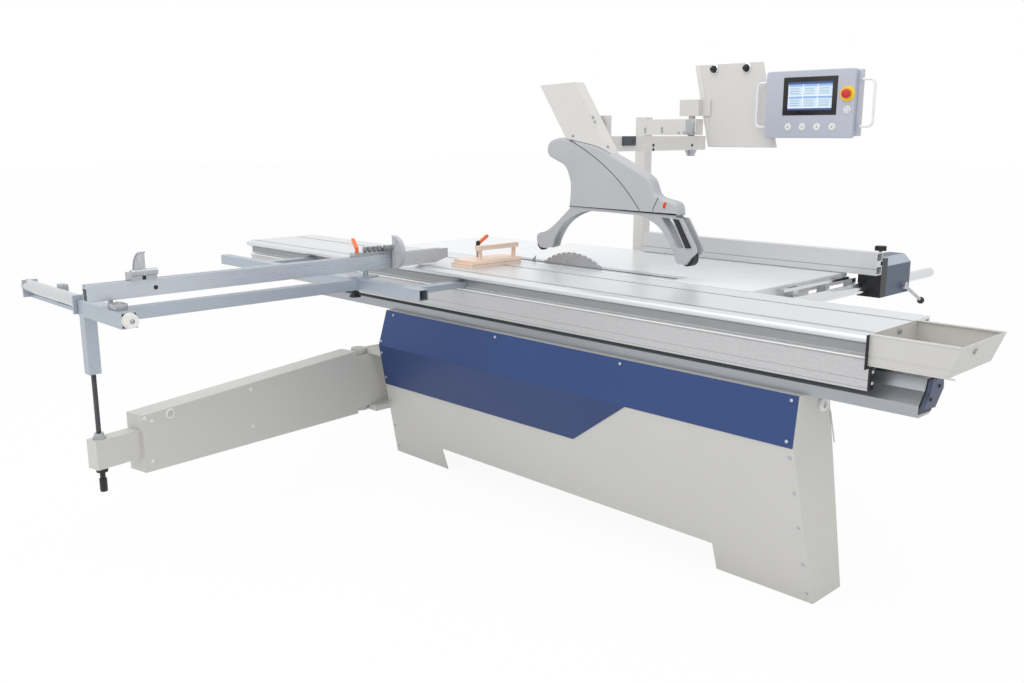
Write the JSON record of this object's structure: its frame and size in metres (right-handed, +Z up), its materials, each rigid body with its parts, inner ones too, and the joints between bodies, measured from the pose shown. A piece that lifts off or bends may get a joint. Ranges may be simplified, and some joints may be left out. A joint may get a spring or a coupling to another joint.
{
  "type": "sliding table saw",
  "caption": "Panel saw with a long rolling carriage beside a cast table, an outrigger with crosscut fence and stops, a rip fence, an overhead guard on a column and a swivelling control panel.",
  "frame": {"origin": "on the floor, midway between the four anchor holes of the cabinet", "axes": "+X along the carriage's travel to the operator's end, +Y across the cut to the rip fence side, +Z up"},
  "size_m": [3.44, 2.925, 1.693],
  "materials": {
    "beige_paint": "fine textured light grey-beige powder coat",
    "blue_paint": "smooth blue powder coat",
    "white_screw": "white-plated screw heads",
    "aluminium": "extruded, lightly brushed along its length",
    "cast_table": "ground and polished casting",
    "steel": "ground steel",
    "chrome_bar": "hard-chromed round bar",
    "grey_iron": "painted casting",
    "black_plastic": "moulded black plastic",
    "anodised": "satin anodised extrusion",
    "roller_aluminium": "turned tube",
    "roller_steel": "hardened rollers in a strip",
    "dark_steel": "blackened threaded rod",
    "stop_metal": "light grey coated stop castings",
    "orange_plastic": "orange clamp levers",
    "beech": "oiled beech",
    "carrier_grey": "grey coated casting",
    "motor_paint": "grey motor enamel",
    "belt_rubber": "ribbed belt",
    "blade_steel": "ground saw steel",
    "hood_grey": "moulded light grey shell",
    "panel_paint": "pale blue-grey enamel",
    "red_plastic": "red mushroom head",
    "button_grey": "grey push buttons",
    "green_plastic": "green push button",
    "dark_blue_plastic": "dark blue-grey end caps"
  },
  "bodies": {
    "frame": {"cabinet": "beige_paint", "stand": "beige_paint", "stand_panel": "blue_paint", "cover_screws": "white_screw", "slide_rail": "aluminium", "rail_caps": "dark_blue_plastic", "main_table": "cast_table", "table_insert": "steel", "outfeed_table": "aluminium", "rip_bar": "chrome_bar", "guard_column": "beige_paint", "trunnions": "grey_iron", "dust_port": "black_plastic", "arm_hinge": "beige_paint"},
    "carriage": {"carriage_profile": "aluminium", "end_tray": "beige_paint", "tray_bolts": "white_screw", "outrigger_frame": "anodised"},
    "cage": {"roller_cage": "roller_steel"},
    "swing_arm": {"swing_arm": "beige_paint"},
    "arm_inner": {"arm_inner": "beige_paint", "support_rod": "dark_steel"},
    "boom": {"guard_boom": "beige_paint"},
    "hood": {"hood": "hood_grey", "hood_frame": "hood_grey", "hood_duct": "beige_paint", "hood_handle": "black_plastic"},
    "panel": {"panel_arm": "beige_paint", "control_panel": "panel_paint"},
    "cradle": {"tilt_cradle": "grey_iron", "drive_motor": "motor_paint"},
    "rise": {"rise_arm": "grey_iron", "drive_belt": "belt_rubber", "riving_knife": "blade_steel"},
    "blade": {"saw_arbor": "steel", "saw_blade": "blade_steel"},
    "motor_rotor": {"motor_pulley": "steel"},
    "scorer": {"scoring_blade": "blade_steel"},
    "rip_carrier": {"rip_carrier": "carrier_grey"},
    "rip_fence": {"rip_fence": "anodised"},
    "rip_lever": {"rip_lever": "black_plastic"},
    "rip_knob": {"rip_knob": "black_plastic"},
    "fence": {"crosscut_fence": "anodised"},
    "stop_a": {"stop_a_base": "stop_metal"},
    "stop_a_flap": {"stop_a_flap": "stop_metal"},
    "stop_b": {"stop_b_base": "stop_metal"},
    "stop_b_flap": {"stop_b_flap": "stop_metal"},
    "stop_lever": {"stop_lever": "orange_plastic"},
    "shoe": {"edging_shoe": "beech"},
    "shoe_lever": {"shoe_lever": "orange_plastic"},
    "end_roller": {"end_roller": "roller_aluminium"},
    "wheel_front": {"hood_wheel_front": "black_plastic"},
    "wheel_rear": {"hood_wheel_rear": "black_plastic"},
    "door": {"cabinet_door": "beige_paint"},
    "estop": {"estop_button": "red_plastic"},
    "start": {"start_button": "green_plastic"},
    "button_1": {"panel_button_1": "button_grey"},
    "button_2": {"panel_button_2": "button_grey"},
    "button_3": {"panel_button_3": "button_grey"},
    "button_4": {"panel_button_4": "button_grey"}
  },
  "joints": [
    {"name": "carriage_slide", "type": "slide", "parent": "frame", "child": "carriage", "axis": [1, 0, 0], "range_m": [0, 1.4]},
    {"name": "cage_slide", "type": "slide", "parent": "frame", "child": "cage", "axis": [1, 0, 0], "range_m": [0, 0.7]},
    {"name": "swing_arm_turn", "type": "hinge", "parent": "frame", "child": "swing_arm", "pos_m": [-0.89, -0.72, 0.366], "axis": [0, 0, 1], "range_deg": [0, 43]},
    {"name": "arm_telescope", "type": "slide", "parent": "swing_arm", "child": "arm_inner", "axis": [0.1854, -0.9827, 0], "range_m": [0, 0.81]},
    {"name": "boom_swing", "type": "hinge", "parent": "frame", "child": "boom", "pos_m": [0.025, 0.39, 1.374], "axis": [0, 0, -1], "range_deg": [0, 50]},
    {"name": "guard_lift", "type": "slide", "parent": "boom", "child": "hood", "axis": [0, 0, 1], "range_m": [-0.045, 0.11]},
    {"name": "panel_swivel", "type": "hinge", "parent": "frame", "child": "panel", "pos_m": [0.025, 0.39, 1.52], "axis": [0, 0, 1], "range_deg": [-25, 50]},
    {"name": "blade_tilt", "type": "hinge", "parent": "frame", "child": "cradle", "pos_m": [0, -0.27, 0.9], "axis": [1, 0, 0], "range_deg": [0, 45]},
    {"name": "blade_lift", "type": "hinge", "parent": "cradle", "child": "rise", "pos_m": [0.30128, -0.252, 0.43], "axis": [0, 1, 0], "range_deg": [-9, 13.8]},
    {"name": "blade_spin", "type": "hinge", "parent": "rise", "child": "blade", "pos_m": [-0.05, -0.24, 0.678], "axis": [0, 1, 0], "continuous": true},
    {"name": "motor_spin", "type": "hinge", "parent": "cradle", "child": "motor_rotor", "pos_m": [0.30128, -0.15, 0.43], "axis": [0, 1, 0], "continuous": true},
    {"name": "scoring_spin", "type": "hinge", "parent": "cradle", "child": "scorer", "pos_m": [0.38, -0.254, 0.832], "axis": [0, 1, 0], "continuous": true},
    {"name": "rip_slide", "type": "slide", "parent": "frame", "child": "rip_carrier", "axis": [0, 1, 0], "range_m": [-0.4, 0.3]},
    {"name": "rip_fence_slide", "type": "slide", "parent": "rip_carrier", "child": "rip_fence", "axis": [1, 0, 0], "range_m": [0, 0.35]},
    {"name": "rip_lever_turn", "type": "hinge", "parent": "rip_carrier", "child": "rip_lever", "pos_m": [0.94, 0.53, 0.845], "axis": [1, 0, 0], "range_deg": [0, 70]},
    {"name": "rip_knob_turn", "type": "hinge", "parent": "rip_carrier", "child": "rip_knob", "pos_m": [0.885, 0.422, 0.96], "axis": [0, 0, 1], "continuous": true},
    {"name": "fence_mitre", "type": "hinge", "parent": "carriage", "child": "fence", "pos_m": [-0.478, -0.965, 0.908], "axis": [0, 0, 1], "range_deg": [0, 45]},
    {"name": "stop_a_slide", "type": "slide", "parent": "fence", "child": "stop_a", "axis": [0, 1, 0], "range_m": [-0.09, 0.6]},
    {"name": "stop_a_flip", "type": "hinge", "parent": "stop_a", "child": "stop_a_flap", "pos_m": [-0.452, -1.832, 0.987], "axis": [0, 1, 0], "range_deg": [0, 180]},
    {"name": "stop_b_slide", "type": "slide", "parent": "fence", "child": "stop_b", "axis": [0, 1, 0], "range_m": [-0.3, 0.15]},
    {"name": "stop_b_flip", "type": "hinge", "parent": "stop_b", "child": "stop_b_flap", "pos_m": [-0.452, -0.85, 0.987], "axis": [0, 1, 0], "range_deg": [-100, 0]},
    {"name": "stop_lever_turn", "type": "hinge", "parent": "stop_b", "child": "stop_lever", "pos_m": [-0.478, -1.002, 0.976], "axis": [0, 0, 1], "range_deg": [-60, 60]},
    {"name": "shoe_slide", "type": "slide", "parent": "carriage", "child": "shoe", "axis": [1, 0, 0], "range_m": [-0.05, 0.9]},
    {"name": "shoe_lever_turn", "type": "hinge", "parent": "shoe", "child": "shoe_lever", "pos_m": [-0.362, -0.493, 0.9643], "axis": [0, 0, 1], "range_deg": [-30, 30]},
    {"name": "end_roller_spin", "type": "hinge", "parent": "carriage", "child": "end_roller", "pos_m": [-0.9245, -1.95, 0.878], "axis": [1, 0, 0], "continuous": true},
    {"name": "wheel_front_spin", "type": "hinge", "parent": "hood", "child": "wheel_front", "pos_m": [0.50938, -0.27, 0.98], "axis": [0, 1, 0], "continuous": true},
    {"name": "wheel_rear_spin", "type": "hinge", "parent": "hood", "child": "wheel_rear", "pos_m": [-0.20273, -0.28, 0.98], "axis": [0, 1, 0], "continuous": true},
    {"name": "door_turn", "type": "hinge", "parent": "frame", "child": "door", "pos_m": [0.661, 0.231, 0.43], "axis": [0, 0, 1], "range_deg": [0, 100]},
    {"name": "estop_press", "type": "slide", "parent": "panel", "child": "estop", "axis": [0, 1, 0], "range_m": [0, 0.006], "stiffness_N_per_m": 800},
    {"name": "start_press", "type": "slide", "parent": "panel", "child": "start", "axis": [0, 1, 0], "range_m": [0, 0.004], "stiffness_N_per_m": 500},
    {"name": "button_1_press", "type": "slide", "parent": "panel", "child": "button_1", "axis": [0, 1, 0], "range_m": [0, 0.004], "stiffness_N_per_m": 500},
    {"name": "button_2_press", "type": "slide", "parent": "panel", "child": "button_2", "axis": [0, 1, 0], "range_m": [0, 0.004], "stiffness_N_per_m": 500},
    {"name": "button_3_press", "type": "slide", "parent": "panel", "child": "button_3", "axis": [0, 1, 0], "range_m": [0, 0.004], "stiffness_N_per_m": 500},
    {"name": "button_4_press", "type": "slide", "parent": "panel", "child": "button_4", "axis": [0, 1, 0], "range_m": [0, 0.004], "stiffness_N_per_m": 500}
  ],
  "couplings": [
    {"joint": "cage_slide", "follows": "carriage_slide", "ratio": 0.5},
    {"joint": "swing_arm_turn", "follows": "carriage_slide", "rad_per_m": 0.53013},
    {"joint": "arm_telescope", "follows": "carriage_slide", "ratio": 0.56778},
    {"joint": "motor_spin", "follows": "blade_spin", "ratio": 0.8}
  ]
}
